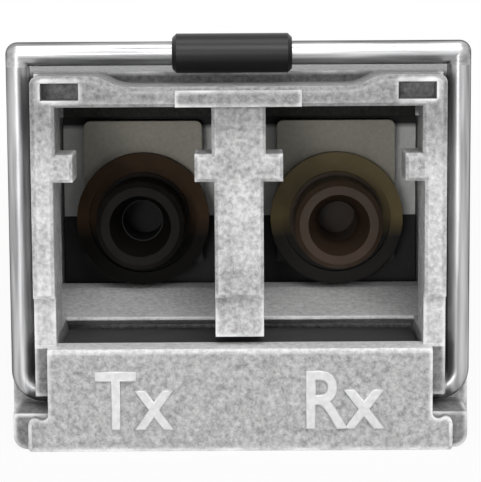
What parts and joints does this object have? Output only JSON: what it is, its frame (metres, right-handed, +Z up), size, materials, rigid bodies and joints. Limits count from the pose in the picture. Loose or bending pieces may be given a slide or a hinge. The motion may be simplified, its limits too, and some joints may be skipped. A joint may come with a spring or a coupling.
{
  "type": "sfp transceiver",
  "caption": "Pluggable duplex LC optical transceiver: die-cast nose with two keyed ports, hinged wire bail that works a latch slide, stamped cover and edge-contact board.",
  "frame": {"origin": "centre of the bounding box in plan, at the underside of the chin", "axes": "+X to the right seen from the front (receive port), +Y from the front to the contact edge, +Z up"},
  "size_m": [0.0138, 0.0564, 0.0121],
  "materials": {
    "zinc_die_cast": "rough as-cast zinc",
    "stainless_sheet": "rolled sheet",
    "spring_copper_nickel": "nickel-plated spring sheet",
    "spring_steel_wire": "bright drawn wire",
    "black_elastomer": "matt moulded",
    "dark_acetal": "smooth moulded",
    "taupe_polymer": "matt moulded",
    "dark_brown_polymer": "moulded",
    "amber_polyetherimide": "translucent amber moulded",
    "zirconia": "black, ground",
    "gold_plated_can": "plated",
    "polyimide_flex": "film",
    "green_laminate": "solder mask",
    "contact_gold": "plated",
    "moulding_compound": "matt",
    "ceramic_chip_parts": "fired",
    "silicone_pad": "soft"
  },
  "bodies": {
    "module": {"housing": "zinc_die_cast", "top_cover": "stainless_sheet", "emi_collar": "spring_copper_nickel", "osa_holder": "taupe_polymer", "tx_barrel": "dark_brown_polymer", "rx_barrel": "amber_polyetherimide", "tx_split_sleeve": "zirconia", "tx_ferrule_stub": "zirconia", "tx_can": "gold_plated_can", "rx_can": "gold_plated_can", "tx_leads": "gold_plated_can", "rx_leads": "gold_plated_can", "tx_flex": "polyimide_flex", "rx_flex": "polyimide_flex", "pcb": "green_laminate", "contacts_top": "contact_gold", "contacts_bottom": "contact_gold", "driver_chip": "moulding_compound", "amplifier_chip": "moulding_compound", "controller_chip": "moulding_compound", "passives": "ceramic_chip_parts", "thermal_pad": "silicone_pad"},
    "bail": {"bail": "spring_steel_wire", "bail_sleeve": "black_elastomer"},
    "actuator": {"actuator_slide": "dark_acetal"}
  },
  "joints": [
    {"name": "bail_swing", "type": "hinge", "parent": "module", "child": "bail", "pos_m": [0, -0.02635, 0.0015], "axis": [1, 0, 0], "range_deg": [0, 90]},
    {"name": "actuator_travel", "type": "slide", "parent": "module", "child": "actuator", "axis": [0, 1, 0], "range_m": [0, 0.00084853]}
  ],
  "couplings": [
    {"joint": "bail_swing", "follows": "actuator_travel", "rad_per_m": 1851.2}
  ]
}
